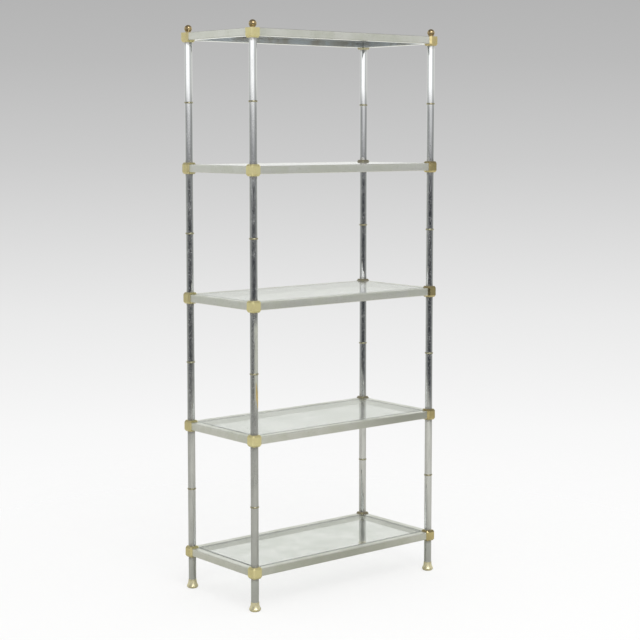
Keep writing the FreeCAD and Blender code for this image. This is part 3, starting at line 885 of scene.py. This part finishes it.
class ETAGERE_OT_stage(bpy.types.Operator):
    """Sets up the pale floor, the soft studio light and the camera"""

    bl_idname = "etagere.stage"
    bl_label = "Studio stage"

    def make_floor(self, stage):
        """A pale disc that takes the stand's shadow and fades into the backdrop."""
        deselect_all()
        bpy.ops.mesh.primitive_circle_add(
            vertices=128, radius=FLOOR_RADIUS, fill_type="NGON", location=(0, 0, 0))
        floor = bpy.context.object
        floor.name = "studio_floor"
        material = bpy.data.materials.new("pale_floor")
        material.use_nodes = True
        tree = material.node_tree
        tree.nodes.clear()
        place = add_node(tree, "ShaderNodeTexCoord").outputs["Object"]
        away = add_node(tree, "ShaderNodeVectorMath", {0: place}, operation="LENGTH").outputs["Value"]
        path = add_node(tree, "ShaderNodeLightPath").outputs
        seen = calculate(tree, "MAXIMUM", path["Is Camera Ray"], path["Is Transmission Ray"])
        cover = blend_values(tree, seen, ease(tree, away, *LIT_FLOOR, 1.0, 0.0),
                             ease(tree, away, *SEEN_FLOOR, 1.0, 0.0))
        # Painted shadow: metal sees the floor darker near the stand.
        in_metal = blend_colours(tree, ease(tree, away, *NEAR_FLOOR),
                                 opaque(stage.floor_mirrored_shadowed), opaque(stage.floor_mirrored))
        mirrored = calculate(tree, "SUBTRACT", path["Is Glossy Ray"], seen, clamp=True)
        paint = add_node(tree, "ShaderNodeBsdfDiffuse", {
            "Color": blend_colours(tree, mirrored, opaque(stage.floor), in_metal)})
        glow = add_node(tree, "ShaderNodeEmission", {
            "Color": grey(1.0), "Strength": product(tree, seen, stage.floor_lift)})
        lifted = add_node(tree, "ShaderNodeAddShader", {0: paint.outputs[0], 1: glow.outputs[0]})
        clear = add_node(tree, "ShaderNodeBsdfTransparent")
        surface = add_node(tree, "ShaderNodeMixShader", {
            0: cover, 1: clear.outputs[0], 2: lifted.outputs[0]})
        add_node(tree, "ShaderNodeOutputMaterial", {"Surface": surface.outputs[0]})
        floor.data.materials.append(material)

    def make_surroundings(self, scene, stage):
        """The backdrop that is seen, the studio that metal mirrors and the even light."""
        world = bpy.data.worlds.new("studio")
        world.use_nodes = True
        scene.world = world
        tree = world.node_tree
        tree.nodes.clear()
        direction = add_node(tree, "ShaderNodeTexCoord").outputs["Generated"]
        x, y, height = axes(tree, direction)

        stops = [(math.sin(math.radians(angle)), tone(shade, shade, shade))
                 for angle, shade in BACKDROP]
        low, high = stops[0][0], stops[-1][0]
        above = calculate(tree, "SUBTRACT", height, low)
        level = calculate(tree, "DIVIDE", above, high - low, clamp=True)
        backdrop = ramp(tree, level, [((sine - low) / (high - low), colour) for sine, colour in stops])

        flat = add_node(tree, "ShaderNodeCombineXYZ", {0: x, 1: y}).outputs[0]
        outward = add_node(tree, "ShaderNodeVectorMath", {0: flat}, operation="NORMALIZE").outputs[0]
        parts = {"ceiling": grey(CEILING)}
        for name, (degrees, levels) in MIRRORED.items():
            bearing = math.radians(degrees)
            cosine = compare(tree, "DOT_PRODUCT", outward, (math.sin(bearing), math.cos(bearing), 0))
            parts[name] = ramp(tree, add_share(tree, 0.5, 0.5, cosine, clamp=True), [
                ((place + 1) / 2, light) for place, light in levels])
        studio = parts["room"]
        for name, start, end, cover in RISING:
            risen = ease(tree, height, start, end, 0.0, cover)
            studio = blend_colours(tree, risen, studio, parts[name])

        path = add_node(tree, "ShaderNodeLightPath").outputs
        seen = calculate(tree, "MAXIMUM", path["Is Camera Ray"], path["Is Transmission Ray"])
        colour = blend_colours(tree, path["Is Glossy Ray"], grey(stage.soft_light), studio)
        colour = blend_colours(tree, seen, colour, backdrop)
        sky = add_node(tree, "ShaderNodeBackground", {"Color": colour, "Strength": 1.0})
        add_node(tree, "ShaderNodeOutputWorld", {"Surface": sky.outputs[0]})

    def make_lamp(self, stage):
        """One large soft lamp above the viewer's shoulder."""
        deselect_all()
        turn = (LAMP_AIM - LAMP_PLACE).to_track_quat("-Z", "Y").to_euler()
        bpy.ops.object.light_add(type="AREA", radius=1, location=LAMP_PLACE, rotation=turn)
        key = bpy.context.object
        key.name = "key_softbox"
        key.data.shape = "ELLIPSE"
        key.data.size = LAMP_WIDTH
        key.data.size_y = LAMP_HEIGHT
        key.data.energy = stage.key_power

    def make_camera(self, scene, stage):
        deselect_all()
        bpy.ops.object.camera_add(location=stage.camera_place, rotation=stage.camera_turn)
        camera = bpy.context.object
        camera.name = "studio_camera"
        camera.data.sensor_width = SENSOR_WIDTH
        camera.data.lens = stage.lens
        camera.data.shift_x, camera.data.shift_y = CAMERA_SHIFT
        camera.data.clip_end = CAMERA_REACH
        scene.camera = camera

    def execute(self, context):
        stage = context.scene.etagere_stage
        self.make_floor(stage)
        self.make_surroundings(context.scene, stage)
        self.make_lamp(stage)
        self.make_camera(context.scene, stage)
        context.scene.view_settings.view_transform = "Standard"
        return {"FINISHED"}


# ---------------------------------------------------------------- panel and registration

STEPS = (ETAGERE_OT_posts, ETAGERE_OT_shelf_frames, ETAGERE_OT_panes, ETAGERE_OT_turned_brass,
         ETAGERE_OT_corner_blocks, ETAGERE_OT_stage)
SETTINGS = {"etagere_blocks": EtagereBlocks, "etagere_metals": EtagereMetals,
            "etagere_glass": EtagereGlass, "etagere_stage": EtagereStage}


class ETAGERE_PT_finishes(bpy.types.Panel):
    """Lists the etagere's settings and the steps that make it"""

    bl_label = "Etagere"
    bl_idname = "ETAGERE_PT_finishes"
    bl_space_type = "VIEW_3D"
    bl_region_type = "UI"
    bl_category = "Etagere"

    def draw(self, context):
        for step in STEPS:
            self.layout.operator(step.bl_idname)
        for name, group in SETTINGS.items():
            box = self.layout.box()
            for setting in group.__annotations__:
                box.prop(getattr(context.scene, name), setting)


CLASSES = (*SETTINGS.values(), *STEPS, ETAGERE_PT_finishes)


def register():
    for cls in CLASSES:
        bpy.utils.register_class(cls)
    for name, group in SETTINGS.items():
        setattr(bpy.types.Scene, name, bpy.props.PointerProperty(type=group))


def unregister():
    for name in SETTINGS:
        delattr(bpy.types.Scene, name)
    for cls in reversed(CLASSES):
        bpy.utils.unregister_class(cls)


def main():
    register()
    bpy.ops.etagere.posts()
    bpy.ops.etagere.shelf_frames()
    bpy.ops.etagere.panes()
    bpy.ops.etagere.turned_brass()
    bpy.ops.etagere.corner_blocks()
    bpy.ops.etagere.stage()


if __name__ == "__main__":
    main()
